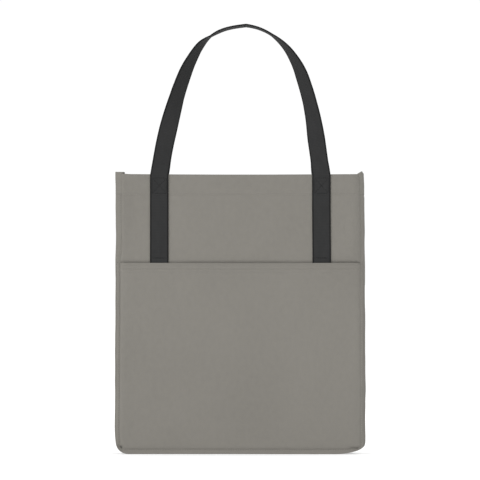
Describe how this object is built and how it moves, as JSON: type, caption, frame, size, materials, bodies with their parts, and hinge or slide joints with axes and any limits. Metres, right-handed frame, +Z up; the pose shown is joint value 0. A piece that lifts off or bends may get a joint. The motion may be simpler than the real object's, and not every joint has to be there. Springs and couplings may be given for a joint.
{
  "type": "fabric shopper tote",
  "caption": "Upright fabric shopper tote with an open top, a full-width front pocket, a shallow gusset and long webbing handles that fold over its top edge.",
  "frame": {"origin": "middle of the footprint, on the surface that the bag stands on", "axes": "+Z up, the pocket faces -Y, +X to the right as the front is seen"},
  "size_m": [0.341, 0.1074, 0.5852],
  "materials": {
    "cloth": "matte",
    "webbing": "matte",
    "seam_thread": "matte",
    "handle_thread": "matte"
  },
  "bodies": {
    "bag": {"front_panel": "cloth", "pocket_panel": "cloth", "left_gusset": "cloth", "right_gusset": "cloth", "bottom_gusset": "cloth", "front_handle_left_leg": "webbing", "front_handle_right_leg": "webbing", "front_hem_thread": "seam_thread", "left_gusset_hem_thread": "seam_thread", "right_gusset_hem_thread": "seam_thread", "pocket_hem_thread": "seam_thread", "front_seam_thread": "seam_thread", "front_left_handle_thread": "handle_thread", "front_right_handle_thread": "handle_thread"},
    "back": {"back_panel": "cloth", "back_handle_left_leg": "webbing", "back_handle_right_leg": "webbing", "back_hem_thread": "seam_thread", "back_seam_thread": "seam_thread", "back_left_handle_thread": "handle_thread", "back_right_handle_thread": "handle_thread"},
    "front_handle": {"front_handle_loop": "webbing"},
    "back_handle": {"back_handle_loop": "webbing"}
  },
  "joints": [
    {"name": "gusset_fold", "type": "slide", "parent": "bag", "child": "back", "axis": [0, -1, 0], "range_m": [0, 0.043], "deforming": ["left_gusset", "right_gusset", "bottom_gusset", "left_gusset_hem_thread", "right_gusset_hem_thread"]},
    {"name": "front_handle_swing", "type": "hinge", "parent": "bag", "child": "front_handle", "pos_m": [0, -0.0279, 0.38085], "axis": [1, 0, 0], "range_deg": [-1.5, 165]},
    {"name": "back_handle_swing", "type": "hinge", "parent": "back", "child": "back_handle", "pos_m": [0, 0.0279, 0.38085], "axis": [-1, 0, 0], "range_deg": [-1.5, 165]}
  ]
}
